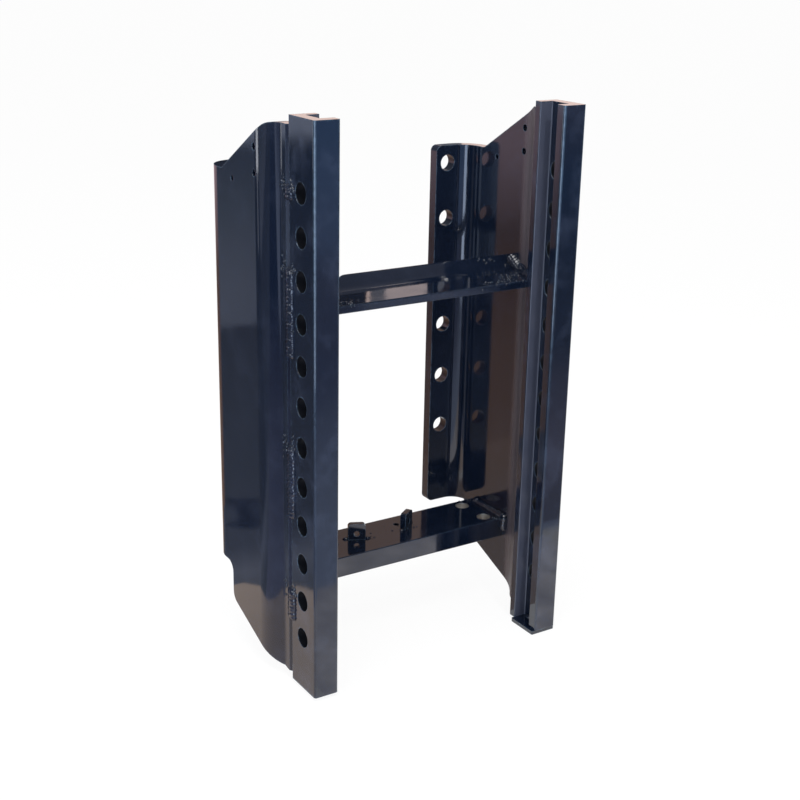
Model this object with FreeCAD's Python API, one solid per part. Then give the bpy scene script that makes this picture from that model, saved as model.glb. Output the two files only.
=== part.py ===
import FreeCAD, Part
import math
import os
from FreeCAD import Vector

# Ladder rails: two slotted uprights facing each other, heights measured from their feet
rail_height = 703.0
rail_span = 374.0
rail_width = 33.0
rail_web = 15.0
front_lip = 15.0
groove_width = 32.0
back_lip = 11.0
front_edge_round = 3.0
lip_edge_round = 1.5

# Pin holes through both rail webs
pin_hole_diameter = 25.0
pin_hole_pitch = 50.0
pin_hole_end_margin = 70.0

# Weld preparation on the front edge of each side plate, outside
seam_bevel_width = 8.0
seam_bevel_depth = 6.0

# Side plates: one thick plate each, joggled outwards and folded in at the back
plate_thickness = 15.0
joggle_offset = 14.0
joggle_angle = 39.0
joggle_near_radius = 12.0
joggle_far_radius = 50.0
joggle_lead = 20.0
frame_depth = 256.0
rear_bend_radius = 23.0
flange_width = 67.0

# Outline of a side plate seen from the side
plate_top_drop = 11.0
plate_bottom = 7.0
top_shoulder_reach = 35.5
top_slope = 31.2
top_shoulder_round = 35.0
top_notch_round = 11.0
bottom_shoulder_reach = 16.0
bottom_slope = 21.8
bottom_shoulder_round = 60.0
bottom_step_setback = 6.0
bottom_step_round = 15.0
bottom_notch_round = 14.0
flange_top_drop = 78.5
flange_bottom = 106.5
flange_corner_round = 8.0

# Bolt holes in the rear flanges
flange_hole_diameter = 22.0
flange_hole_inset = 49.0
flange_hole_pitch = 75.5
flange_hole_top_margin = 23.5
flange_hole_end_margin = 110.0

# Small fixing holes near the top of each side plate
pair_hole_diameter = 8.5
pair_hole_reach = 59.5
pair_hole_drop = 31.0
pair_hole_pitch = 30.0
single_hole_diameter = 7.0
single_hole_reach = 117.5
single_hole_drop = 76.0

# Upper cross member: a bent plate with its back edge turned up
member_underside = 467.0
member_thickness = 10.0
fold_clearance = 0.4
member_fold_angle = 29.0
member_rise = 32.0
member_bend_radius = 25.0
member_nose_round = 8.0
member_edge_round = 1.0
relief_radius = 40.0
relief_reach = 136.0

# Lower cross bar: a thick flat bar with two drawbar pin holes
bar_underside = 86.5
bar_thickness = 28.0
bar_depth = 80.0
bar_rear_gap = 38.0
bar_edge_round = 1.2
bar_hole_diameter = 19.0
bar_hole_margin = 16.5
front_bar_hole_inset = 24.0
rear_bar_hole_inset = 28.0
bar_small_hole_diameter = 8.5
bar_small_hole_inset = 145.5
bar_small_hole_margin = 25.0

# Lugs standing on the lower cross bar
lug_width = 24.0
lug_height = 23.0
lug_thickness = 8.0
lug_corner_round = 4.5
lug_eye_diameter = 8.0
lug_eye_height = 9.0
left_lug_x = -31.5
left_lug_angle = -25.0
right_lug_x = 48.5
right_lug_angle = 35.0
lug_setback = 42.0

# Stop plate under the right rail foot
stop_thickness = 5.0
stop_overhang = 4.5
stop_setback = 1.0
stop_depth = 47.0
stop_corner_round = 2.0

# Weld beads
bead_end_taper = 0.55
seam_bead_radius = 8.5
member_bead_leg = 8.0
bar_bead_radius = 9.0
bar_bead_overrun = 4.0
lug_bead_radius = 3.2
lug_bead_tail = 8.0
stop_bead_radius = 4.5

# Stitches between rail and side plate: two start above the rail's foot, two start below its top
bottom_stitch_start = 84.0
bottom_stitch_length = 41.0
lower_stitch_start = 222.0
lower_stitch_length = 90.0
upper_stitch_drop = 279.0
upper_stitch_length = 105.0
top_stitch_drop = 94.0
top_stitch_length = 15.0

# Places worked out from the sizes above
rail_outer = rail_span / 2
rail_inner = rail_outer - rail_width
rail_depth = front_lip + groove_width + back_lip
groove_floor = rail_outer - rail_web
groove_middle = front_lip + groove_width / 2
plate_outer = rail_outer + joggle_offset
plate_inner = plate_outer - plate_thickness
plate_foot = rail_outer - plate_thickness
plate_top = rail_height - plate_top_drop
flange_top = rail_height - flange_top_drop
flange_front = frame_depth - plate_thickness
flange_edge = plate_outer - flange_width
member_top = member_underside + member_thickness
bar_top = bar_underside + bar_thickness
bar_back = flange_front - bar_rear_gap
bar_front = bar_back - bar_depth
joggle_shift = plate_thickness * math.tan(math.radians(joggle_angle / 2))
joggle_run = joggle_offset / math.tan(math.radians(joggle_angle))
joggle_start = rail_depth + joggle_lead
joggle_end = (joggle_start + joggle_shift + joggle_run
              + (joggle_far_radius - plate_thickness / 2) * math.tan(math.radians(joggle_angle / 2)))
fold_reach = member_bend_radius * math.tan(math.radians(member_fold_angle / 2))
fold_y = joggle_end + fold_clearance + fold_reach
past = 30.0


def in_plan(u, v):
    return Vector(u, v, 0)


def in_side(u, v):
    return Vector(0, u, v)


def in_front(u, v):
    return Vector(u, 0, v)


def rounded_edges(corners, place, closed):
    """Edges in order along a run of corners (u, v, radius), each rounded by its own radius."""
    count = len(corners)
    bends = []
    for index, (u, v, radius) in enumerate(corners):
        corner = place(u, v)
        if radius == 0:
            bends.append((corner, None, corner))
            continue
        before = place(*corners[index - 1][:2]) - corner
        after = place(*corners[(index + 1) % count][:2]) - corner
        before.normalize()
        after.normalize()
        half = before.getAngle(after) / 2
        reach = radius / math.tan(half)
        middle = before + after
        middle.normalize()
        deepest = corner + middle * (radius / math.sin(half) - radius)
        bends.append((corner + before * reach, deepest, corner + after * reach))
    edges = []
    for index, (start, deepest, end) in enumerate(bends):
        if (closed or index > 0) and bends[index - 1][2].distanceToPoint(start) > 1e-6:
            edges.append(Part.makeLine(bends[index - 1][2], start))
        if deepest:
            edges.append(Part.Arc(start, deepest, end).toShape())
    return edges


def rounded_face(corners, place):
    return Part.Face(Part.Wire(rounded_edges(corners, place, True)))


def mirrored(shape):
    return shape.mirror(Vector(0, 0, 0), Vector(1, 0, 0))


def drill(shape, diameter, start, direction, length):
    return shape.cut(Part.makeCylinder(diameter / 2, length, start, direction))


def places_along(first, last, pitch):
    count = int(math.floor((last - first) / pitch + 1e-6)) + 1
    return [first + pitch * index for index in range(count)]


def bead(points, radius):
    """Run of weld metal along a path, tapered at both ends."""
    pieces = []
    for start, end in zip(points, points[1:]):
        run = end - start
        pieces.append(Part.makeCylinder(radius, run.Length, start, run))
    small = radius * bead_end_taper
    for inner, tip in ((points[1], points[0]), (points[-2], points[-1])):
        pieces.append(Part.makeCone(radius, small, small, tip, tip - inner))
    return pieces[0].fuse(pieces[1:])


def right_rail():
    corners = [
        (rail_outer, 0, front_edge_round),
        (rail_outer, rail_depth, 0),
        (rail_inner, rail_depth, lip_edge_round),
        (rail_inner, rail_depth - back_lip, lip_edge_round),
        (groove_floor, rail_depth - back_lip, lip_edge_round),
        (groove_floor, front_lip, lip_edge_round),
        (rail_inner, front_lip, lip_edge_round),
        (rail_inner, 0, front_edge_round),
    ]
    rail = rounded_face(corners, in_plan).extrude(Vector(0, 0, rail_height))
    for height in places_along(pin_hole_end_margin, rail_height - pin_hole_end_margin, pin_hole_pitch):
        start = Vector(rail_inner, groove_middle, height)
        rail = drill(rail, pin_hole_diameter, start, Vector(1, 0, 0), rail_width + past)
    return rail


def inner_joggle():
    """Inside face of the right side plate from the rail to the main flat."""
    return [
        (plate_foot, rail_depth, 0),
        (plate_foot, joggle_start + joggle_shift, joggle_near_radius + plate_thickness / 2),
        (plate_inner, joggle_start + joggle_shift + joggle_run, joggle_far_radius - plate_thickness / 2),
    ]


def outer_joggle():
    return [
        (plate_outer, joggle_start + joggle_run, joggle_far_radius + plate_thickness / 2),
        (rail_outer, joggle_start, joggle_near_radius - plate_thickness / 2),
        (rail_outer, rail_depth + seam_bevel_width, 0),
        (rail_outer - seam_bevel_depth, rail_depth, 0),
    ]


def plate_outline():
    """Side view of a side plate, whose lower edge steps up just before the back of the lower bar."""
    top_run = (plate_top - flange_top) / math.tan(math.radians(top_slope))
    bottom_step = bar_back - bottom_step_setback
    bottom_run = bottom_step - rail_depth - bottom_shoulder_reach
    bottom_rise = bottom_run * math.tan(math.radians(bottom_slope))
    back = frame_depth + past
    return [
        (rail_depth, plate_bottom, 0),
        (rail_depth + bottom_shoulder_reach, plate_bottom, bottom_shoulder_round),
        (bottom_step, plate_bottom + bottom_rise, bottom_step_round),
        (bottom_step, flange_bottom, bottom_notch_round),
        (back, flange_bottom, 0),
        (back, flange_top, 0),
        (rail_depth + top_shoulder_reach + top_run, flange_top, top_notch_round),
        (rail_depth + top_shoulder_reach, plate_top, top_shoulder_round),
        (rail_depth, plate_top, 0),
    ]


def right_side_plate():
    """Bent strip cut to the plate's outline, with its flange holes and fixing holes."""
    outer_bend = rear_bend_radius + plate_thickness
    section = inner_joggle() + [
        (plate_inner, flange_front, rear_bend_radius),
        (flange_edge, flange_front, 0),
        (flange_edge, frame_depth, 0),
        (plate_outer, frame_depth, outer_bend),
    ] + outer_joggle()
    strip = rounded_face(section, in_plan).extrude(Vector(0, 0, rail_height))
    side_cut = rounded_face(plate_outline(), in_side).extrude(Vector(plate_outer + past, 0, 0))
    plate = strip.common(side_cut)
    corners = [edge for edge in plate.Edges
               if abs(edge.BoundBox.XMax - flange_edge) < 0.01
               and edge.BoundBox.XLength < 0.01 and edge.BoundBox.ZLength < 0.01]
    plate = plate.makeFillet(flange_corner_round, corners)
    top_hole = flange_top - flange_hole_top_margin
    for drop in places_along(0, top_hole - flange_bottom - flange_hole_end_margin, flange_hole_pitch):
        start = Vector(plate_outer - flange_hole_inset, flange_front - past, top_hole - drop)
        plate = drill(plate, flange_hole_diameter, start, Vector(0, 1, 0), plate_thickness + 2 * past)
    small_holes = [
        (pair_hole_reach, pair_hole_drop, pair_hole_diameter),
        (pair_hole_reach, pair_hole_drop + pair_hole_pitch, pair_hole_diameter),
        (single_hole_reach, single_hole_drop, single_hole_diameter),
    ]
    for reach, drop, diameter in small_holes:
        start = Vector(plate_foot - past, rail_depth + reach, plate_top - drop)
        plate = drill(plate, diameter, start, Vector(1, 0, 0), plate_thickness + joggle_offset + 2 * past)
    return plate


def inside_space():
    """The space between the two side plates, which every cross piece fills from wall to wall."""
    right = inner_joggle() + [(plate_inner, flange_front - rear_bend_radius, 0)]
    left = [(-u, v, radius) for u, v, radius in reversed(right)]
    return rounded_face(right + left, in_plan).extrude(Vector(0, 0, rail_height))


def upper_cross_member(space):
    """Flat leg behind the rails with an upturned back edge, cut away at the left rear corner."""
    angle = math.radians(member_fold_angle)
    rise_y = fold_y + member_rise * math.cos(angle)
    rise_z = member_top + member_rise * math.sin(angle)
    under_fold = fold_y + member_thickness * math.tan(angle / 2)
    corners = [
        (rail_depth, member_underside, lip_edge_round),
        (under_fold, member_underside, member_bend_radius + member_thickness),
        (rise_y + member_thickness * math.sin(angle), rise_z - member_thickness * math.cos(angle),
         member_edge_round),
        (rise_y, rise_z, member_nose_round),
        (fold_y, member_top, member_bend_radius),
        (rail_depth, member_top, lip_edge_round),
    ]
    member = rounded_face(corners, in_side).extrude(Vector(2 * plate_inner, 0, 0))
    member.translate(Vector(-plate_inner, 0, 0))
    back = rise_y + member_thickness * math.sin(angle)
    relief_x = relief_reach - plate_inner
    cut_corners = [
        (-plate_inner - past, under_fold, 0),
        (relief_x, under_fold, 0),
        (relief_x, back + past, 0),
        (-plate_inner - past, back + past, 0),
    ]
    cut = rounded_face(cut_corners, in_plan).extrude(Vector(0, 0, rail_height))
    round_centre = Vector(relief_x, rise_y - relief_radius, 0)
    cut = cut.cut(Part.makeCylinder(relief_radius, rail_height, round_centre))
    return member.cut(cut).common(space)


def lower_cross_bar(space):
    corners = [
        (bar_front, bar_underside, bar_edge_round),
        (bar_back, bar_underside, bar_edge_round),
        (bar_back, bar_top, bar_edge_round),
        (bar_front, bar_top, bar_edge_round),
    ]
    bar = rounded_face(corners, in_side).extrude(Vector(2 * plate_inner, 0, 0))
    bar.translate(Vector(-plate_inner, 0, 0))
    holes = [
        (plate_inner - front_bar_hole_inset, bar_front + bar_hole_margin, bar_hole_diameter),
        (plate_inner - rear_bar_hole_inset, bar_back - bar_hole_margin, bar_hole_diameter),
        (plate_inner - bar_small_hole_inset, bar_back - bar_small_hole_margin, bar_small_hole_diameter),
    ]
    for x, y, diameter in holes:
        bar = drill(bar, diameter, Vector(x, y, bar_underside), Vector(0, 0, 1), bar_thickness)
    return bar.common(space)


def lug_place(shape, x, angle):
    """Set a shape built about the origin on top of the lower bar."""
    shape.rotate(Vector(0, 0, 0), Vector(0, 0, 1), angle)
    shape.translate(Vector(x, bar_front + lug_setback, bar_top))
    return shape


def lug(x, angle):
    corners = [
        (-lug_width / 2, 0, 0),
        (lug_width / 2, 0, 0),
        (lug_width / 2, lug_height, lug_corner_round),
        (-lug_width / 2, lug_height, lug_corner_round),
    ]
    plate = rounded_face(corners, in_front).extrude(Vector(0, lug_thickness, 0))
    plate.translate(Vector(0, -lug_thickness / 2, 0))
    start = Vector(0, -lug_thickness / 2, lug_eye_height)
    plate = drill(plate, lug_eye_diameter, start, Vector(0, 1, 0), lug_thickness)
    return lug_place(plate, x, angle)


def lug_weld(x, angle, lug_shape, bar):
    """A short tail of weld at each end of a lug."""
    tails = []
    for side in (-1, 1):
        start = Vector(side * lug_width / 2, 0, 0)
        end = Vector(side * (lug_width / 2 + lug_bead_tail), 0, 0)
        tails.append(bead([start, end], lug_bead_radius))
    weld = lug_place(Part.makeCompound(tails), x, angle)
    return weld.cut([lug_shape, bar])


def rail_foot_stop():
    depth_end = stop_setback + stop_depth
    corners = [
        (rail_inner - stop_overhang, stop_setback, stop_corner_round),
        (rail_outer, stop_setback, stop_corner_round),
        (rail_outer, depth_end, stop_corner_round),
        (rail_inner - stop_overhang, depth_end, stop_corner_round),
    ]
    stop = rounded_face(corners, in_plan).extrude(Vector(0, 0, stop_thickness))
    stop.translate(Vector(0, 0, -stop_thickness))
    return stop


def rail_stop_weld(rail, stop):
    near = Vector(groove_floor, front_lip + 2 * stop_bead_radius, 0)
    far = Vector(groove_floor, stop_setback + stop_depth - 2 * stop_bead_radius, 0)
    return bead([near, far], stop_bead_radius).cut([rail, stop])


def seam_stitches():
    """Start height and length of each stitch."""
    return {
        "weld_bottom": (bottom_stitch_start, bottom_stitch_length),
        "weld_lower": (lower_stitch_start, lower_stitch_length),
        "weld_upper": (rail_height - upper_stitch_drop, upper_stitch_length),
        "weld_top": (rail_height - top_stitch_drop, top_stitch_length),
    }


def seam_weld(start_height, length, rail, plate):
    """Stitch that fills the bevelled joint between rail and plate."""
    root_x = rail_outer - seam_bevel_depth
    low = Vector(root_x, rail_depth, start_height)
    high = Vector(root_x, rail_depth, start_height + length)
    return bead([low, high], seam_bead_radius).cut([rail, plate])


def fillet_bead(path, corner, along, up, across):
    """Fillet weld swept along a flat path, its section's legs running along and up from the corner."""
    foot = corner + along * member_bead_leg
    head = corner + up * member_bead_leg
    section = Part.makePolygon([corner, foot, head, corner])
    sweep = Part.BRepOffsetAPI.MakePipeShell(Part.Wire(path))
    sweep.setBiNormalMode(across)
    sweep.add(section)
    sweep.build()
    sweep.makeSolid()
    return sweep.shape()


def member_weld_right(reaches_up):
    """Fillet weld behind the rail and along the side plate, and up the turned edge if that reaches the plate."""
    def on_top(u, v):
        return Vector(u, v, member_top)

    def on_plate(u, v):
        return Vector(plate_inner, u, v)

    angle = math.radians(member_fold_angle)
    turn_y = fold_y - fold_reach
    wall = rounded_edges(inner_joggle() + [(plate_inner, turn_y, 0)], on_top, False)
    lip = [Part.makeLine(on_top(rail_inner, rail_depth), on_top(plate_foot, rail_depth))]
    left, back, up = Vector(-1, 0, 0), Vector(0, 1, 0), Vector(0, 0, 1)
    weld = fillet_bead(wall, on_top(plate_foot, rail_depth), left, up, up)
    weld = weld.fuse(fillet_bead(lip, on_top(rail_inner, rail_depth), back, up, up))
    if reaches_up:
        slope = member_rise - member_nose_round
        end = (fold_y + slope * math.cos(angle), member_top + slope * math.sin(angle), 0)
        rise = rounded_edges([(turn_y, member_top, 0), (fold_y, member_top, member_bend_radius), end],
                             on_plate, False)
        weld = weld.fuse(fillet_bead(rise, on_plate(turn_y, member_top), left, up, left))
    return weld


def bar_weld(side, bar, plate):
    """Beads over the end of the lower bar and down its front, which cross at the corner."""
    end_x = side * plate_inner
    back = Vector(end_x, bar_back - bar_bead_radius, bar_top)
    front = Vector(end_x, bar_front - bar_bead_overrun, bar_top)
    high = Vector(end_x, bar_front, bar_top + bar_bead_overrun)
    low = Vector(end_x, bar_front, bar_underside + bar_bead_radius)
    weld = bead([back, front], bar_bead_radius).fuse(bead([high, low], bar_bead_radius))
    return weld.cut([bar, plate])


def build_nodes():
    space = inside_space()
    rails = {1: right_rail()}
    plates = {1: right_side_plate()}
    rails[-1] = mirrored(rails[1])
    plates[-1] = mirrored(plates[1])
    member = upper_cross_member(space)
    bar = lower_cross_bar(space)
    stop = rail_foot_stop()
    lugs = {"left_lug": (left_lug_x, left_lug_angle), "right_lug": (right_lug_x, right_lug_angle)}
    nodes = {
        "upper_cross_member": member,
        "lower_cross_bar": bar,
        "rail_foot_stop": stop,
        "rail_stop_weld": rail_stop_weld(rails[1], stop),
    }
    for name, (x, angle) in lugs.items():
        nodes[name] = lug(x, angle)
        nodes[name + "_weld"] = lug_weld(x, angle, nodes[name], bar)
    for name, side in (("left", -1), ("right", 1)):
        nodes[name + "_rail"] = rails[side]
        nodes[name + "_side_plate"] = plates[side]
        nodes["lower_bar_" + name + "_weld"] = bar_weld(side, bar, plates[side])
    nodes["upper_member_right_weld"] = member_weld_right(True)
    nodes["upper_member_left_weld"] = mirrored(member_weld_right(False))
    for name, (start, length) in seam_stitches().items():
        weld = seam_weld(start, length, rails[1], plates[1])
        nodes["right_rail_" + name] = weld
        nodes["left_rail_" + name] = mirrored(weld)
    return nodes


os.makedirs("parts", exist_ok=True)
for name, shape in build_nodes().items():
    shape.translate(Vector(0, -frame_depth / 2, stop_thickness))
    shape.exportStep("parts/" + name + ".step")
    print(name, "solids", len(shape.Solids), "volume", round(shape.Volume), "valid", shape.isValid())
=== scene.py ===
import math
import random

import bmesh
import bpy
from mathutils import Matrix, Vector, noise


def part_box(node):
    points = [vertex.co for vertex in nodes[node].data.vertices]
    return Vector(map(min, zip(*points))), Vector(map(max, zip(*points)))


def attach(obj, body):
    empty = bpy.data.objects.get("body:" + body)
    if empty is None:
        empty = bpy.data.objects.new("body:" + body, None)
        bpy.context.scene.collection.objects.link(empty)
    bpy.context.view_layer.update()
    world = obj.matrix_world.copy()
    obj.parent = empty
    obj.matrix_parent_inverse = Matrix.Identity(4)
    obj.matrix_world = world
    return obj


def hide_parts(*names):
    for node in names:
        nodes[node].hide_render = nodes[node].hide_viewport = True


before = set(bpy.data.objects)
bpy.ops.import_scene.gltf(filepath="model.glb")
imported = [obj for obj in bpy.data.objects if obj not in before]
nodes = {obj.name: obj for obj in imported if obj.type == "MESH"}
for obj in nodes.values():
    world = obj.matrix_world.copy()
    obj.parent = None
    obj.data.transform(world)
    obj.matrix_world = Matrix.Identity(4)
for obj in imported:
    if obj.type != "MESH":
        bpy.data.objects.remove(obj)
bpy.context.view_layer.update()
mm = 0.001

# Low and high corners of the pieces that others are set out from. The left side mirrors the right one.
railLow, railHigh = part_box("right_rail")
barLow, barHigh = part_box("lower_cross_bar")


# Small helpers

def srgb(code):
    parts = [int(code[i:i + 2], 16) / 255 for i in (1, 3, 5)]
    return [p / 12.92 if p <= 0.04045 else ((p + 0.055) / 1.055) ** 2.4 for p in parts] + [1.0]


# An input is a plain value, a socket, or a node that stands for its first output
def addNode(tree, kind, inputs=None, **settings):
    node = tree.nodes.new("ShaderNode" + kind)
    for name, value in settings.items():
        setattr(node, name, value)
    for name, value in (inputs or {}).items():
        source = value.outputs[0] if isinstance(value, bpy.types.Node) else value
        if isinstance(source, bpy.types.NodeSocket):
            tree.links.new(source, node.inputs[name])
        else:
            node.inputs[name].default_value = source
    return node


def newMaterial(name):
    material = bpy.data.materials.new(name)
    material.use_nodes = True
    material.node_tree.nodes.clear()
    return material, material.node_tree


def place(name, data):
    thing = bpy.data.objects.new(name, data)
    bpy.context.scene.collection.objects.link(thing)
    return thing


# Navy gloss enamel, sprayed thick on steel: it mirrors the room, levels into a faint orange peel, sags in
# slow waves and faint runs, and has a painted highlight, a paler line, on its edges. The peel is drawn
# coarse enough to show.

paint = {
    "colour": "#0c1423",
    "ior": 1.72,
    "roughness": 0.05,
    "dulled": 0.08,
    "peelSize": 2.4 * mm,
    "peelDepth": 0.011 * mm,
    "waveSize": 60 * mm,
    "waveDepth": 0.16 * mm,
    "runWidth": 6.667 * mm,
    "runLength": 250 * mm,
    "runDepth": 0.02 * mm,
    "edgeRound": 0.8 * mm,
}

# Dust that dulls the gloss in smears, and a painted highlight along edges: a paler colour, broken into
# specks. An edge shows where the normal rounded over edgeReach leans from the face's own: the cosine
# between them is flattest where no highlight is painted and sharpest where the most is.
dustAndPaintedEdges = {
    "dust": "#465068",
    "smearSize": 45.45 * mm,
    "smearBreakup": 0.62,
    "dullFrom": 0.35,
    "dullTo": 0.75,
    "dustFrom": 0.5,
    "dustTo": 0.85,
    "edgeHighlightColour": "#53697c",
    "edgeReach": 2.6 * mm,
    "flattest": 0.99,
    "sharpest": 0.86,
    "speckSize": 6.25 * mm,
    "speckFrom": 0.36,
    "speckTo": 0.62,
}

# How dusty each body is at most, how strong its painted edge highlight is at most, and how deep its peel is
# next to the plates'
bodies = {
    "plate": {"dust": 0.14, "edgeHighlight": 0.55, "peel": 1},
    "rail": {"dust": 0.34, "edgeHighlight": 0.55, "peel": 1},
    "member": {"dust": 0.10, "edgeHighlight": 0.55, "peel": 1},
    "bar": {"dust": 0.10, "edgeHighlight": 0.55, "peel": 1},
    "weld": {"dust": 0.10, "edgeHighlight": 0.25, "peel": 2},
}


def paintRelief(tree, spot, peelDepth):
    runScale = (1 / paint["runWidth"], 1 / paint["runWidth"], 1 / paint["runLength"])
    runs = addNode(tree, "VectorMath", {0: spot, 1: runScale}, operation="MULTIPLY")
    relief = addNode(tree, "Bevel", {"Radius": paint["edgeRound"]}, samples=6)
    layers = [
        (spot, 1 / paint["waveSize"], 1.0, paint["waveDepth"]),
        (runs, 1.0, 2.0, paint["runDepth"]),
        (spot, 1 / paint["peelSize"], 2.0, peelDepth),
    ]
    for where, scale, detail, depth in layers:
        height = addNode(tree, "TexNoise", {"Vector": where, "Scale": scale, "Detail": detail})
        relief = addNode(tree, "Bump", {"Height": height, "Normal": relief, "Distance": depth,
                                        "Strength": 1.0})
    return relief


# Lays another colour over a share of the coat and dulls it there
def layOver(tree, coat, share, colour, dulled=0.0):
    mix = addNode(tree, "Mix", {"Factor": share, "A": coat["Base Color"], "B": srgb(colour)},
                  data_type="RGBA")
    coat["Base Color"] = mix.outputs["Result"]
    if dulled:
        coat["Roughness"] = addNode(tree, "Math", {0: share, 1: dulled, 2: coat["Roughness"]},
                                    operation="MULTIPLY_ADD")


# 1 where every test holds; a test is a value, a comparison and its limit
def whereAll(tree, tests):
    inside = 1.0
    for value, comparison, limit in tests:
        holds = addNode(tree, "Math", {0: value, 1: limit}, operation=comparison)
        inside = addNode(tree, "Math", {0: inside, 1: holds}, operation="MULTIPLY")
    return inside


# A rail's two front corners have a painted highlight, a paler line that is strongest near its top. Its
# groove's rear wall has a painted sheen, a paler colour, and the walls of its pin holes painted shade, a
# darker one; both are dulled, and the hole walls have little gloss.
rail = {
    "middle": (railLow[0] + railHigh[0]) / 2,
    "half": (railHigh[0] - railLow[0]) / 2,
    "grooveFront": railLow[1] + 15 * mm,
    "grooveBack": railLow[1] + 47 * mm,
    "grooveFloor": railHigh[0] - 15 * mm,
    "skin": 0.5 * mm,
    "cornerReach": 3.4 * mm,
    "cornerCore": 0.2 * mm,
    "highlightFrom": 300 * mm,
    "highlightTo": 620 * mm,
    "highlightLeast": 0.12,
    "highlightMost": 0.75,
    "grooveSheen": "#3c4152",
    "holeShade": "#0b0e15",
    "dulled": 0.42,
    "holeGloss": 0.12,
}


# Painted highlight on a rail's two front corners, stronger towards its top, in specks
def paintedCornerHighlight(tree, axes, specks):
    side = addNode(tree, "Math", {0: axes["X"]}, operation="ABSOLUTE")
    offMiddle = addNode(tree, "Math", {0: side, 1: rail["middle"]}, operation="SUBTRACT")
    sideways = addNode(tree, "Math", {0: offMiddle}, operation="ABSOLUTE")
    flat = addNode(tree, "CombineXYZ", {"X": sideways, "Y": axes["Y"]})
    away = addNode(tree, "VectorMath", {0: flat, 1: (rail["half"], railLow[1], 0)}, operation="DISTANCE")
    near = addNode(tree, "MapRange", {"Value": away.outputs["Value"], "From Min": rail["cornerReach"],
                                      "From Max": rail["cornerCore"]})
    high = addNode(tree, "MapRange", {"Value": axes["Z"], "From Min": rail["highlightFrom"],
                                      "From Max": rail["highlightTo"], "To Min": rail["highlightLeast"],
                                      "To Max": rail["highlightMost"]})
    uneven = addNode(tree, "Math", {0: specks, 1: 0.5, 2: 0.5}, operation="MULTIPLY_ADD")
    edgeHighlight = addNode(tree, "Math", {0: near, 1: high}, operation="MULTIPLY")
    return addNode(tree, "Math", {0: edgeHighlight, 1: uneven}, operation="MULTIPLY")


def paintGrooveSheenAndHoleShade(tree, axes, coat):
    side = addNode(tree, "Math", {0: axes["X"]}, operation="ABSOLUTE")
    inside = [
        (axes["Y"], "GREATER_THAN", rail["grooveFront"] - rail["skin"]),
        (axes["Y"], "LESS_THAN", rail["grooveBack"] + rail["skin"]),
        (side, "LESS_THAN", railHigh[0] - rail["skin"]),
        (axes["Z"], "LESS_THAN", railHigh[2] - 2 * rail["skin"]),
    ]
    rearWall = whereAll(tree, inside + [(axes["Y"], "GREATER_THAN", rail["grooveBack"] - 3 * rail["skin"])])
    hole = whereAll(tree, inside + [(side, "GREATER_THAN", rail["grooveFloor"] + rail["skin"])])
    # Painted sheen: a paler colour on the groove's rear wall, which is rougher too
    layOver(tree, coat, rearWall, rail["grooveSheen"], rail["dulled"])
    # Painted shade: a darker colour on the pin holes' walls, which have little gloss
    layOver(tree, coat, hole, rail["holeShade"], rail["dulled"])
    coat["Specular IOR Level"] = addNode(tree, "MapRange", {"Value": hole, "To Min": 0.5,
                                                            "To Max": rail["holeGloss"]})


# A side plate's inner face has a painted reflection, a paler greyish brown, where it steps in to meet its
# rail, and is dulled there
plateCornerReflection = {
    "from": -8 * mm,
    "to": -20 * mm,
    "colour": "#4a4349",
    "dulled": 0.4,
}


def paintCornerReflection(tree, axes, face, coat):
    across = addNode(tree, "SeparateXYZ", {"Vector": face}).outputs["X"]
    outward = addNode(tree, "Math", {0: axes["X"], 1: across}, operation="MULTIPLY")
    inner = whereAll(tree, [(outward, "LESS_THAN", 0.0)])
    near = addNode(tree, "MapRange", {"Value": axes["Y"], "From Min": plateCornerReflection["from"],
                                      "From Max": plateCornerReflection["to"]})
    share = addNode(tree, "Math", {0: inner, 1: near}, operation="MULTIPLY")
    # Painted reflection: a paler greyish brown on the inner face near the rail
    layOver(tree, coat, share, plateCornerReflection["colour"], plateCornerReflection["dulled"])


# The bar's two drawbar pin holes are worn to bright bare steel, with a thin ring of it round each mouth
bore = {
    "places": [
        (barHigh[0] - 24 * mm, barLow[1] + 16.5 * mm, 0),
        (barHigh[0] - 28 * mm, barHigh[1] - 16.5 * mm, 0),
    ],
    "reach": 10.1 * mm,
    "steel": "#dcdcda",
    "dulled": 0.25,
}


def bareBores(tree, axes, coat):
    flat = addNode(tree, "CombineXYZ", {"X": axes["X"], "Y": axes["Y"]})
    first, second = [addNode(tree, "VectorMath", {0: flat, 1: middle}, operation="DISTANCE").outputs["Value"]
                     for middle in bore["places"]]
    nearest = addNode(tree, "Math", {0: first, 1: second}, operation="MINIMUM")
    bare = whereAll(tree, [(nearest, "LESS_THAN", bore["reach"])])
    layOver(tree, coat, bare, bore["steel"], bore["dulled"])
    coat["Metallic"] = bare


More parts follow.
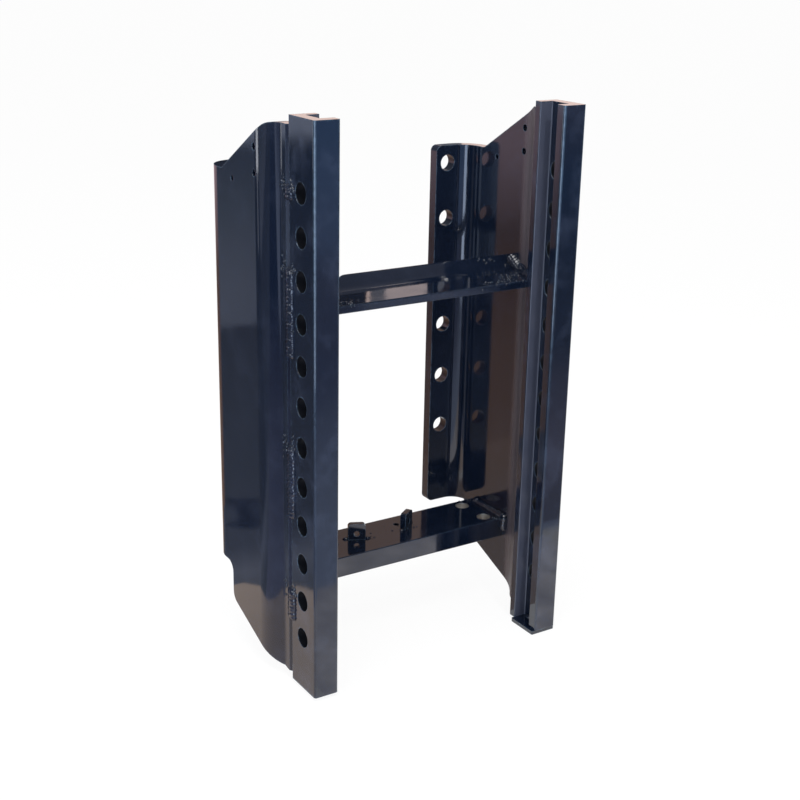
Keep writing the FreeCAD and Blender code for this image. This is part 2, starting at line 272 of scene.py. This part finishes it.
def enamel(name, body):
    material, tree = newMaterial(name)
    most = bodies[body]
    spot = addNode(tree, "TexCoord").outputs["Object"]
    axes = addNode(tree, "SeparateXYZ", {"Vector": spot}).outputs
    face = addNode(tree, "NewGeometry").outputs["Normal"]

    smear = addNode(tree, "TexNoise", {"Vector": spot, "Scale": 1 / dustAndPaintedEdges["smearSize"], "Detail": 6.0,
                                       "Roughness": dustAndPaintedEdges["smearBreakup"]})
    dull = addNode(tree, "MapRange", {"Value": smear, "From Min": dustAndPaintedEdges["dullFrom"],
                                      "From Max": dustAndPaintedEdges["dullTo"], "To Min": paint["roughness"],
                                      "To Max": paint["roughness"] + paint["dulled"]})
    dusty = addNode(tree, "MapRange", {"Value": smear, "From Min": dustAndPaintedEdges["dustFrom"],
                                       "From Max": dustAndPaintedEdges["dustTo"], "To Max": most["dust"]})
    coat = {"Base Color": srgb(paint["colour"]), "Roughness": dull, "IOR": paint["ior"]}
    coat["Normal"] = paintRelief(tree, spot, most["peel"] * paint["peelDepth"])
    layOver(tree, coat, dusty, dustAndPaintedEdges["dust"])

    # Painted highlight along edges: a paler colour where the normal rounds over an edge, in specks
    rounded = addNode(tree, "Bevel", {"Radius": dustAndPaintedEdges["edgeReach"]}, samples=6)
    likeness = addNode(tree, "VectorMath", {0: rounded, 1: face}, operation="DOT_PRODUCT").outputs["Value"]
    edge = addNode(tree, "MapRange", {"Value": likeness, "From Min": dustAndPaintedEdges["flattest"],
                                      "From Max": dustAndPaintedEdges["sharpest"], "To Max": most["edgeHighlight"]})
    speck = addNode(tree, "TexNoise", {"Vector": spot, "Scale": 1 / dustAndPaintedEdges["speckSize"], "Detail": 3.0})
    specks = addNode(tree, "MapRange", {"Value": speck, "From Min": dustAndPaintedEdges["speckFrom"],
                                        "From Max": dustAndPaintedEdges["speckTo"]})
    edgeHighlight = addNode(tree, "Math", {0: edge, 1: specks}, operation="MULTIPLY")

    if body == "rail":
        edgeHighlight = addNode(tree, "Math", {0: edgeHighlight, 1: paintedCornerHighlight(tree, axes, specks)}, operation="MAXIMUM")
        paintGrooveSheenAndHoleShade(tree, axes, coat)
    if body == "plate":
        paintCornerReflection(tree, axes, face, coat)
    if body == "bar":
        bareBores(tree, axes, coat)
    # Lays the painted edge and corner highlight over the coat
    layOver(tree, coat, edgeHighlight, dustAndPaintedEdges["edgeHighlightColour"])
    addNode(tree, "OutputMaterial", {"Surface": addNode(tree, "BsdfPrincipled", coat)})
    return material


enamels = {
    "plate": enamel("navyEnamelOnPlate", "plate"),
    "weld": enamel("navyEnamelOverWeld", "weld"),
    "member": enamel("navyEnamelOnMember", "member"),
    "rail": enamel("navyEnamelOnRail", "rail"),
    "bar": enamel("navyEnamelRoundBareBores", "bar"),
}
bodyOf = {
    "left_rail": "rail",
    "right_rail": "rail",
    "left_side_plate": "plate",
    "right_side_plate": "plate",
    "upper_cross_member": "member",
    "lower_cross_bar": "bar",
    "left_lug": "member",
    "right_lug": "member",
    "rail_foot_stop": "member",
}
for name, node in nodes.items():
    node.data.materials.clear()
    node.data.materials.append(enamels[bodyOf.get(name, "weld")])
print("enamel ready")

# Weld beads: overlapping crescents of weld metal, half sunk in their joints, with spatter thrown round them

bead = {
    "sides": 14,
    "step": 1.2 * mm,
    "routeStep": 5 * mm,
    "ripple": 4.6 * mm,
    "rippleLag": 0.45,
    "rippleDepth": 0.13,
    "lumpSize": 5 * mm,
    "lumpDepth": 0.16,
    "endLength": 5.0 * mm,
    "endLeast": 0.25,
    "nextLead": 0.37,
    "smallestDrop": 0.45,
    "largestDrop": 1.2,
}
draw = random.Random(7)


# Evenly spaced points along a run whose corners are softened
def smoothRoute(corners, step):
    route = [Vector(corners[0])]
    for corner in corners[1:]:
        start, end = route[-1], Vector(corner)
        pieces = max(1, round((end - start).length / bead["routeStep"]))
        route += [start.lerp(end, (piece + 1) / pieces) for piece in range(pieces)]
    for _ in range(2):
        cut = [route[0]]
        for a, b in zip(route, route[1:]):
            cut += [a.lerp(b, 0.25), a.lerp(b, 0.75)]
        route = cut + [route[-1]]
    points = [route[0]]
    left = step
    for a, b in zip(route, route[1:]):
        length = (b - a).length
        while length >= left:
            a = a.lerp(b, left / length)
            points.append(a.copy())
            length = (b - a).length
            left = step
        left -= length
    return points


# A ring drawn along the run, wider than it stands proud by spread, and rounded off at both ends.
# Each point keeps its spoke from the run's middle and how far the ripples swell it.
def layBead(mesh, corners, radius, outward, lead, spread=1.0):
    points = smoothRoute(corners, bead["step"])
    total = bead["step"] * (len(points) - 1)
    ring = None
    for index, point in enumerate(points):
        ahead = points[min(index + 1, len(points) - 1)] - points[max(index - 1, 0)]
        ahead.normalize()
        side = ahead.cross(Vector(outward)).normalized()
        out = side.cross(ahead)
        along = index * bead["step"]
        end = min(along, total - along) / bead["endLength"]
        size = radius * max(bead["endLeast"], math.sqrt(1 - (1 - min(1, end)) ** 2))
        turn = Matrix((side, out, ahead)).transposed().to_4x4()
        stand = Matrix.Translation(point) @ turn @ Matrix.Diagonal((size * spread, size, size, 1))
        if ring is None:
            ring = bmesh.ops.create_circle(mesh, segments=bead["sides"], radius=1.0, matrix=stand)["verts"]
            edges = list({edge for vert in ring for edge in vert.link_edges})
            bottom = edges
        else:
            grown = bmesh.ops.extrude_edge_only(mesh, edges=edges)["geom"]
            ring = [part for part in grown if isinstance(part, bmesh.types.BMVert)]
            edges = [part for part in grown if isinstance(part, bmesh.types.BMEdge)
                     and all(vert in ring for vert in part.verts)]
            bmesh.ops.transform(mesh, matrix=stand @ before.inverted(), verts=ring)
        before = stand
        for vert in ring:
            spoke = stand.inverted() @ vert.co
            across = spoke.y / max(spoke.length, 1e-9)
            phase = (along / bead["ripple"] + bead["rippleLag"] * across + lead) % 1.0
            vert[mesh.verts.layers.float["swell"]] = bead["rippleDepth"] * (1 - (2 * phase - 1) ** 2)
            vert[mesh.verts.layers.float_vector["spoke"]] = vert.co - point
    bmesh.ops.edgeloop_fill(mesh, edges=bottom)
    bmesh.ops.edgeloop_fill(mesh, edges=edges)


# Small domes of weld metal thrown round a place, half sunk in the face that they landed on
def dropSpatter(mesh, host, middle, spread, count, size):
    for _ in range(count):
        spot = Vector([draw.gauss(along, wide) for along, wide in zip(middle, spread)])
        landed = nodes[host].closest_point_on_mesh(spot)[1]
        radius = size * draw.uniform(bead["smallestDrop"], bead["largestDrop"])
        bmesh.ops.create_icosphere(mesh, subdivisions=2, radius=radius, matrix=Matrix.Translation(landed))


# A run is its corners, its radius, the way that it stands proud, and how much wider than that it is
def weldPiece(name, replaced, runs, spatter):
    mesh = bmesh.new()
    mesh.verts.layers.float.new("swell")
    mesh.verts.layers.float_vector.new("spoke")
    for index, (corners, radius, outward, spread) in enumerate(runs):
        layBead(mesh, corners, radius, outward, bead["nextLead"] * index, spread)
    for host, middle, spread, count, size in spatter:
        dropSpatter(mesh, host, middle, spread, count, size)
    swell = mesh.verts.layers.float["swell"]
    spoke = mesh.verts.layers.float_vector["spoke"]
    for vert in mesh.verts:
        lump = noise.noise(vert.co / bead["lumpSize"]) * bead["lumpDepth"]
        vert.co += vert[spoke] * (vert[swell] + lump)
    mesh.verts.layers.float.remove(swell)
    mesh.verts.layers.float_vector.remove(mesh.verts.layers.float_vector["spoke"])
    bmesh.ops.recalc_face_normals(mesh, faces=mesh.faces)
    for face in mesh.faces:
        face.smooth = True
    data = bpy.data.meshes.new(name)
    mesh.to_mesh(data)
    mesh.free()
    data.materials.append(enamels["weld"])
    piece = place(name, data)
    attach(piece, "root")
    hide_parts(replaced)


# A place or direction of the right side as it is, or mirrored to the left when side is -1
def onSide(side, spot):
    return (side * spot[0], spot[1], spot[2])


# A stitch fills the corner behind the rail's back, on its outer side
stitch = {
    "sunk": 3.0 * mm,
    "radius": 5.7 * mm,
    "spread": 1.9,
    "outward": (1, 0.3, 0),
    "dropsBelowTop": 5 * mm,
    "onRail": {"behind": -6 * mm, "scatter": (0, 2.5 * mm, 6 * mm), "count": 18, "size": 1.6 * mm},
    "onPlate": {"behind": 14 * mm, "scatter": (0, 4 * mm, 7 * mm), "count": 16, "size": 1.6 * mm},
}


def addStitch(sideName, side, stitchName):
    replaced = sideName + "_rail_weld_" + stitchName
    low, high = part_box(replaced)
    x = side * (railHigh[0] - stitch["sunk"])
    y = railHigh[1] + stitch["sunk"]
    run = [(x, y, low[2] + bead["endLength"] / 2), (x, y, high[2] - bead["endLength"] / 2)]
    spatter = []
    for host, drops in (("_rail", stitch["onRail"]), ("_side_plate", stitch["onPlate"])):
        middle = (side * railHigh[0], railHigh[1] + drops["behind"], high[2] - stitch["dropsBelowTop"])
        spatter.append((sideName + host, middle, drops["scatter"], drops["count"], drops["size"]))
    runs = [(run, stitch["radius"], onSide(side, stitch["outward"]), stitch["spread"])]
    weldPiece(sideName + "Stitch_" + stitchName, replaced, runs, spatter)


# A bead along the bar's top edge by the side plate, and down its front corner
barWeld = {
    "radius": 6.0 * mm,
    "outward": (-0.6, -0.5, 0.6),
    "raised": 1 * mm,
    "backGap": 9 * mm,
    "frontGap": 2 * mm,
    "footGap": 4 * mm,
    "atFront": {"inward": 10 * mm, "margin": 3 * mm, "scatter": (4 * mm, 5 * mm, 2 * mm), "count": 16},
    "atBack": {"inward": 12 * mm, "margin": 6 * mm, "scatter": (5 * mm, 4 * mm, 0), "count": 10},
    "dropSize": 1.5 * mm,
}


def addBarWeld(sideName, side):
    replaced = "lower_bar_" + sideName + "_weld"
    x = side * (barHigh[0] - barWeld["raised"])
    front = barLow[1] - barWeld["frontGap"]
    top = barHigh[2] + barWeld["raised"]
    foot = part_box(replaced)[0][2] + barWeld["footGap"]
    run = [(x, barHigh[1] - barWeld["backGap"], top), (x, front, top), (x, front, foot)]
    atFront, atBack = barWeld["atFront"], barWeld["atBack"]
    spatter = []
    for drops, y in ((atFront, barLow[1] + atFront["margin"]), (atBack, barHigh[1] - atBack["margin"])):
        middle = (side * (barHigh[0] - drops["inward"]), y, top)
        spatter.append(("lower_cross_bar", middle, drops["scatter"], drops["count"], barWeld["dropSize"]))
    runs = [(run, barWeld["radius"], onSide(side, barWeld["outward"]), 1.0)]
    weldPiece(sideName + "BarWeld", replaced, runs, spatter)


# A bead on the member's top: behind the rail, round the side plate's foot and along the plate. Each place
# is given inwards from the bar's end and behind the rail's back. On the right it climbs the upturned lip.
memberWeld = {
    "radius": 6.0 * mm,
    "spread": 1.25,
    "outward": (-0.7, 0.1, 0.7),
    "raised": 1 * mm,
    "route": [
        (29 * mm, 1 * mm),
        (16.5 * mm, 2 * mm),
        (14.5 * mm, 8 * mm),
        (14.5 * mm, 24 * mm),
        (1 * mm, 42 * mm),
        (1 * mm, 57 * mm),
    ],
    "lipEndGap": 6 * mm,
    "lipTopGap": 5 * mm,
    "spatter": [
        {"inward": 41 * mm, "behind": 25 * mm, "above": 0, "scatter": (12 * mm, 12 * mm, 0), "count": 26,
         "size": 1.7 * mm},
        {"inward": 36 * mm, "behind": 82 * mm, "above": 9 * mm, "scatter": (7 * mm, 3 * mm, 3 * mm),
         "count": 10, "size": 1.6 * mm},
        {"inward": 74 * mm, "behind": 8 * mm, "above": -1 * mm, "scatter": (14 * mm, 5 * mm, 2 * mm),
         "count": 24, "size": 1.8 * mm},
    ],
}


def addMemberWeld(sideName, side):
    replaced = "upper_member_" + sideName + "_weld"
    low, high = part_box(replaced)
    top = low[2] + memberWeld["raised"]
    run = [(side * (barHigh[0] - inward), railHigh[1] + behind, top)
           for inward, behind in memberWeld["route"]]
    if sideName == "right":
        run.append((run[-1][0], high[1] - memberWeld["lipEndGap"], high[2] - memberWeld["lipTopGap"]))
    spatter = []
    for drops in memberWeld["spatter"]:
        middle = (side * (barHigh[0] - drops["inward"]), railHigh[1] + drops["behind"], top + drops["above"])
        spatter.append(("upper_cross_member", middle, drops["scatter"], drops["count"], drops["size"]))
    runs = [(run, memberWeld["radius"], onSide(side, memberWeld["outward"]), memberWeld["spread"])]
    weldPiece(sideName + "MemberWeld", replaced, runs, spatter)


# Two short beads in line with each lug, one at each end of its foot
lugWeld = {
    "radius": 3.0 * mm,
    "start": 11 * mm,
    "end": 20 * mm,
    "turned": {"left": -25, "right": 35},
    "scatter": (13 * mm, 7 * mm, 0),
    "count": 18,
    "dropSize": 1.4 * mm,
}


def addLugWeld(lugName):
    replaced = lugName + "_lug_weld"
    low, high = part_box(replaced)
    middle = Vector(((low[0] + high[0]) / 2, (low[1] + high[1]) / 2, low[2]))
    angle = math.radians(lugWeld["turned"][lugName])
    along = Vector((math.cos(angle), math.sin(angle), 0))
    runs = []
    for end in (-1, 1):
        run = [middle + end * along * lugWeld["start"], middle + end * along * lugWeld["end"]]
        runs.append((run, lugWeld["radius"], (0, 0, 1), 1.0))
    spatter = [("lower_cross_bar", middle, lugWeld["scatter"], lugWeld["count"], lugWeld["dropSize"])]
    weldPiece(lugName + "LugWeld", replaced, runs, spatter)


for sideName, side in (("left", -1), ("right", 1)):
    for stitchName in ("bottom", "lower", "upper", "top"):
        addStitch(sideName, side, stitchName)
    addBarWeld(sideName, side)
    addMemberWeld(sideName, side)
for lugName in ("left", "right"):
    addLugWeld(lugName)
print("weld beads laid")

# Floor and surroundings: a pale floor, with glowing grey sheets and a glowing grey tent that only the enamel
# mirrors. Their shades are painted reflections: gloss paint looks dark navy only where the room around it is
# darker than the floor

room = {
    "floorSize": 60.0,
    "floorGlow": 0.91,
    "worldFill": 0.75,
    "glowSheetHeight": 2 * mm,
    "glowSheetGap": 1 * mm,
    "far": 9.0,
    "nearBack": 0.205,
    "nearFront": -0.39,
    "tentShades": [(0.0, "#8d8f98"), (2.5, "#74767f"), (9.0, "#6a6c76")],
    "tentWander": 1.0,
    "tentBlotch": 2.0,
    "boardWander": 0.06,
    "boardBlotch": 0.12,
}


# 1 for what the camera, a mirror or glass sees, and 0 for the light that the room passes on
def seenRays(tree):
    rays = addNode(tree, "LightPath").outputs
    seen = addNode(tree, "Math", {0: rays["Is Camera Ray"], 1: rays["Is Glossy Ray"]}, operation="ADD")
    return addNode(tree, "Math", {0: seen, 1: rays["Is Transmission Ray"]}, operation="ADD", use_clamp=True)


def floorMaterial():
    material, tree = newMaterial("whiteStudioFloor")
    matte = addNode(tree, "BsdfDiffuse", {"Color": srgb("#ffffff")})
    glow = addNode(tree, "Emission", {"Color": srgb("#ffffff"), "Strength": 1.0})
    share = addNode(tree, "MapRange", {"Value": seenRays(tree), "To Max": room["floorGlow"]})
    shader = addNode(tree, "MixShader", {0: share, 1: matte, 2: glow})
    addNode(tree, "OutputMaterial", {"Surface": shader})
    return material


# A glowing sheet, no lamp, that only the paint's reflections see: its painted shades follow one axis, as a
# room's light does from lit floor to dim corners. Their edges wander by some of a metre, in blotches of a
# given size.
def glowSheetMaterial(name, shades, axis="Y", wander=0.0, blotch=0.5, glow=1.0):
    material, tree = newMaterial(name)
    spot = addNode(tree, "TexCoord").outputs["Object"]
    blotches = addNode(tree, "TexNoise", {"Vector": spot, "Scale": 1 / blotch, "Detail": 4.0})
    along = addNode(tree, "SeparateXYZ", {"Vector": spot}).outputs[axis]
    uneven = addNode(tree, "Math", {0: blotches, 1: 0.5}, operation="SUBTRACT")
    moved = addNode(tree, "Math", {0: uneven, 1: wander, 2: along}, operation="MULTIPLY_ADD")
    start, end = shades[0][0], shades[-1][0]
    share = addNode(tree, "MapRange", {"Value": moved, "From Min": start, "From Max": end})
    ramp = addNode(tree, "ValToRGB", {"Fac": share})
    points = ramp.color_ramp.elements
    for index, (distance, colour) in enumerate(shades):
        point = points[index] if index < 2 else points.new(1.0)
        point.position = (distance - start) / (end - start)
        point.color = srgb(colour)
    lit = addNode(tree, "Emission", {"Color": ramp, "Strength": glow})
    addNode(tree, "OutputMaterial", {"Surface": lit})
    return material


def stagePiece(name, data, material, mirroredOnly=True):
    piece = place(name, data)
    data.materials.append(material)
    if mirroredOnly:
        piece.visible_camera = False
        piece.visible_diffuse = False
        piece.visible_shadow = False


def sheetMesh(name, corners):
    mesh = bmesh.new()
    mesh.faces.new([mesh.verts.new(corner) for corner in corners])
    data = bpy.data.meshes.new(name)
    mesh.to_mesh(data)
    mesh.free()
    return data


def layFloor():
    half = room["floorSize"] / 2
    corners = [(-half, -half, 0), (half, -half, 0), (half, half, 0), (-half, half, 0)]
    stagePiece("studioFloor", sheetMesh("studioFloor", corners), floorMaterial(), mirroredOnly=False)


# A glowing grey tent that only the paint's reflections see: a painted reflection of the room
def makeTent():
    mesh = bmesh.new()
    bmesh.ops.create_uvsphere(mesh, u_segments=48, v_segments=24, radius=room["far"])
    belowFloor = [vert for vert in mesh.verts if vert.co.z < -0.01]
    bmesh.ops.delete(mesh, geom=belowFloor, context="VERTS")
    data = bpy.data.meshes.new("greyTent")
    mesh.to_mesh(data)
    mesh.free()
    material = glowSheetMaterial("greyTentGlow", room["tentShades"], "Z", room["tentWander"], room["tentBlotch"])
    stagePiece("greyTent", data, material)


# Glowing sheets on the floor, in metres from the part's middle; their shades paint what the enamel reflects.
# Where two of them meet, the upper one has the higher layer.
far, front, back = room["far"], room["nearFront"], room["nearBack"]
nearEdge = [(-0.45, front), (-0.42, -0.10), (-0.385, 0.015), (-0.32, 0.15)]
glowSheets = {
    "frontGlowSheet": {
        "outline": [(-far, -far), (far, -far), (far, front), (-far, front)],
        "shades": [(-4.5, "#7c9fd4"), (-2.5, "#90a8d8"), (-2.0, "#70748c"), (-1.2, "#6e7490"),
                   (-0.6, "#bccaea")],
        "layer": 0, "wander": 0.45, "blotch": 0.4,
    },
    "frontRightGlowSheet": {
        "outline": [(0.30, -0.41), (0.55, -0.9), (6.2, -far), (far, -far), (far, -0.41)],
        "shades": [(-4.5, "#6c7490"), (-3.0, "#445a7c"), (-1.2, "#505460"), (-0.7, "#a09cb0"),
                   (-0.4, "#8a8894")],
        "layer": 1, "wander": 0.3, "blotch": 0.4,
    },
    "memberPatch": {
        "outline": [(0.83, -1.92), (1.19, -1.92), (1.17, -1.38), (0.83, -1.38)],
        "shades": [(-3.1, "#5c6484"), (-1.65, "#a6afcf"), (-0.3, "#dfe8fa")],
        "layer": 2, "wander": 6.0, "blotch": 0.07,
    },
    "leftGlowSheet": {
        "outline": nearEdge + [(-0.28, back), (0.25, back), (-0.45, 1.45), (-far, 1.45), (-far, front)],
        "shades": [(0.15, "#7c8088"), (0.25, "#9498a6"), (0.32, "#6c707c"), (0.6, "#62666e"),
                   (1.4, "#56585e")],
        "layer": 0, "wander": 0.08, "blotch": 0.15,
    },
    "farLeftGlowSheet": {
        "outline": nearEdge[:3] + [(-0.345, 0.10), (-1.0, 0.27), (-2.5, 0.45), (-far, 0.8), (-far, front)],
        "shades": [(-5.0, "#484c5c"), (-2.2, "#20222e"), (-1.4, "#605e6e"), (-0.8, "#82849e"),
                   (-0.4, "#9a9cb4")],
        "layer": 1, "wander": 0.3, "blotch": 0.5, "axis": "X",
    },
    "backGlowSheet": {
        "outline": [(-far, 1.45), (far, 1.45), (far, far), (-far, far)],
        "shades": [(1.8, "#8e94a4"), (2.8, "#747c88"), (4.1, "#585e68"), (4.4, "#ccd6f0")],
        "layer": 0, "wander": 0.25, "blotch": 0.5,
    },
    "darkStrip": {
        "outline": [(-0.40, 0.33), (-0.46, 0.5), (-2.26, 3.95), (-4.4, 3.95), (-0.78, 0.33)],
        "shades": [(0.3, "#5a5c60"), (1.5, "#424448"), (4.0, "#2c3036")],
        "layer": 1, "wander": 0.3, "blotch": 0.3,
    },
    "darkPatch": {
        "outline": [(-0.34, 0.395), (-0.375, 0.42), (-0.39, 0.50), (-0.44, 0.47), (-0.42, 0.40),
                    (-0.38, 0.36)],
        "shades": [(0.3, "#3a3c44"), (0.6, "#3a3c44")],
        "layer": 2,
    },
    "warmGlowSheet": {
        "outline": [(-0.15, -0.06), (0.18, -0.06), (0.18, 0.2), (0.05, 0.6), (-0.30, 0.6), (-0.15, 0.2)],
        "shades": [(-0.1, "#b7a79e"), (0.25, "#b09a8c"), (0.5, "#b6967f")],
        "layer": 1, "wander": 0.1, "blotch": 0.2,
    },
    "footGlowSheet": {
        "outline": [(-0.17, front), (0.36, front), (0.36, -0.13), (-0.17, -0.13)],
        "shades": [(-1.2, "#c4c2cc"), (-0.26, "#dcdbe2"), (0.6, "#fdf9ff")],
        "layer": 1, "wander": 4.0, "blotch": 0.05, "glow": 1.35,
    },
    "leftPaleGlowSheet": {
        "outline": nearEdge + [(-0.28, back), (-0.19, back), (-0.19, front)],
        "shades": [(-0.39, "#ece2de"), (-0.02, "#e0cfc2"), (0.2, "#fbe4d2")],
        "layer": 1, "wander": 0.15, "blotch": 0.06,
    },
}

# Glowing boards that stand behind the part, each across X at its own Y; only the paint's reflections see
# them, so their shades are painted reflections
glowBoards = {
    "warmGlowBoardLeft": {
        "y": 0.50, "left": -0.36, "right": 0.03, "bottom": 0.0, "top": 0.62,
        "shades": [(0.0, "#a4846c"), (0.18, "#9e7e6a"), (0.32, "#8a6c5c"), (0.4, "#8c7060"),
                   (0.56, "#dabac0")],
    },
    "warmGlowBoardRight": {
        "y": 0.50, "left": 0.03, "right": 0.45, "bottom": 0.0, "top": 0.62,
        "shades": [(0.0, "#a88f82"), (0.62, "#a88f82")],
    },
    "darkGlowBoard": {
        "y": 0.51, "left": -0.10, "right": 0.265, "bottom": 0.62, "top": 0.72,
        "shades": [(0.62, "#26272c"), (0.72, "#26272c")],
    },
}


def layGlowSheet(name, glowSheet):
    height = room["glowSheetHeight"] + glowSheet["layer"] * room["glowSheetGap"]
    corners = [(x, y, height) for x, y in glowSheet["outline"]]
    material = glowSheetMaterial(name, glowSheet["shades"], glowSheet.get("axis", "Y"), glowSheet.get("wander", 0.0),
                             glowSheet.get("blotch", 0.5), glowSheet.get("glow", 1.0))
    stagePiece(name, sheetMesh(name, corners), material)


def standGlowBoard(name, glowBoard):
    y, left, right, bottom, top = [glowBoard[side] for side in ("y", "left", "right", "bottom", "top")]
    corners = [(left, y, bottom), (right, y, bottom), (right, y, top), (left, y, top)]
    material = glowSheetMaterial(name, glowBoard["shades"], "Z", room["boardWander"], room["boardBlotch"])
    stagePiece(name, sheetMesh(name, corners), material)


layFloor()
makeTent()
for name, glowSheet in glowSheets.items():
    layGlowSheet(name, glowSheet)
for name, glowBoard in glowBoards.items():
    standGlowBoard(name, glowBoard)


def makeWorld():
    world = bpy.data.worlds.new("studioWorld")
    bpy.context.scene.world = world
    world.use_nodes = True
    tree = world.node_tree
    tree.nodes.clear()
    level = addNode(tree, "MapRange", {"Value": seenRays(tree), "To Min": room["worldFill"], "To Max": 1.0})
    sky = addNode(tree, "Background", {"Strength": level, "Color": srgb("#ffffff")})
    addNode(tree, "OutputWorld", {"Surface": sky})


# Soft area lights, each at its spot and turned to its target, in metres and watts
softboxes = {
    "topSoftbox": {
        "spot": (-0.5, -0.6, 2.6), "target": (0, 0, 0.3), "size": (1.5, 1.5), "power": 38,
        "colour": "#ffffff",
    },
    "leftSoftbox": {
        "spot": (-2.4, 0.4, 1.5), "target": (0, 0, 0.35), "size": (1.2, 1.6), "power": 16,
        "colour": "#f4f8ff",
    },
    "leftRailWindow": {
        "spot": (0.73, 1.5, 1.0), "target": (-0.17, -0.1, 0.7), "size": (0.24, 0.30), "power": 0.27,
        "colour": "#ffdccb",
    },
    "memberWindow": {
        "spot": (0.985, 1.5, 1.06), "target": (0, -0.06, 0.48), "size": (0.11, 0.31), "power": 0.075,
        "colour": "#ffe4dc",
    },
    "rightRailWindow": {
        "spot": (1.45, 1.5, 1.0), "target": (0.17, -0.1, 0.7), "size": (0.5, 0.30), "power": 0.56,
        "colour": "#ffdccb",
    },
    "cornerStrip": {
        "spot": (-1.08, -0.93, 0.28), "target": (-0.1, -0.12, 0.28), "size": (0.75, 0.56), "power": 4.8,
        "colour": "#cfe2ff",
    },
    "bendStrip": {
        "spot": (-1.51, 1.51, 0.38), "target": (-0.2, 0.05, 0.38), "size": (0.30, 0.14), "power": 0.36,
        "colour": "#f2f6ff",
    },
    "bendTail": {
        "spot": (-1.51, 1.51, 0.20), "target": (-0.2, 0.05, 0.20), "size": (0.12, 0.2), "power": 0.05,
        "colour": "#e6eeff",
    },
    "glintLamp": {
        "spot": (-0.3, -1.9, 2.0), "target": (0, 0, 0.35), "size": (0.14, 0.14), "power": 15.0,
        "colour": "#ffffff",
    },
}


def addSoftbox(name, box):
    lamp = bpy.data.lights.new(name, "AREA")
    lamp.shape = "RECTANGLE"
    lamp.size, lamp.size_y = box["size"]
    lamp.energy = box["power"]
    lamp.color = srgb(box["colour"])[:3]
    softbox = place(name, lamp)
    softbox.location = box["spot"]
    ray = Vector(box["target"]) - Vector(box["spot"])
    softbox.rotation_euler = ray.to_track_quat("-Z", "Y").to_euler()
    softbox.visible_camera = False


makeWorld()
for name, box in softboxes.items():
    addSoftbox(name, box)
print("floor and lights ready")

# Camera, measured from the photograph: where it stands, which way it looks and its roll in degrees

cameraPlace = {
    "eye": (-0.88785, -1.40247, 0.89279),
    "aim": (0.51035, 0.79671, -0.32372),
    "roll": 1.16,
    "lens": 60.7,
    "sensor": 36,
}
cameraData = bpy.data.cameras.new("photoCamera")
cameraData.sensor_width = cameraPlace["sensor"]
cameraData.lens = cameraPlace["lens"]
camera = place("photoCamera", cameraData)
turn = Vector(cameraPlace["aim"]).to_track_quat("-Z", "Y").to_matrix().to_4x4()
roll = Matrix.Rotation(math.radians(cameraPlace["roll"]), 4, "Z")
camera.matrix_world = Matrix.Translation(cameraPlace["eye"]) @ turn @ roll
bpy.context.scene.camera = camera
bpy.context.scene.view_settings.view_transform = "Standard"
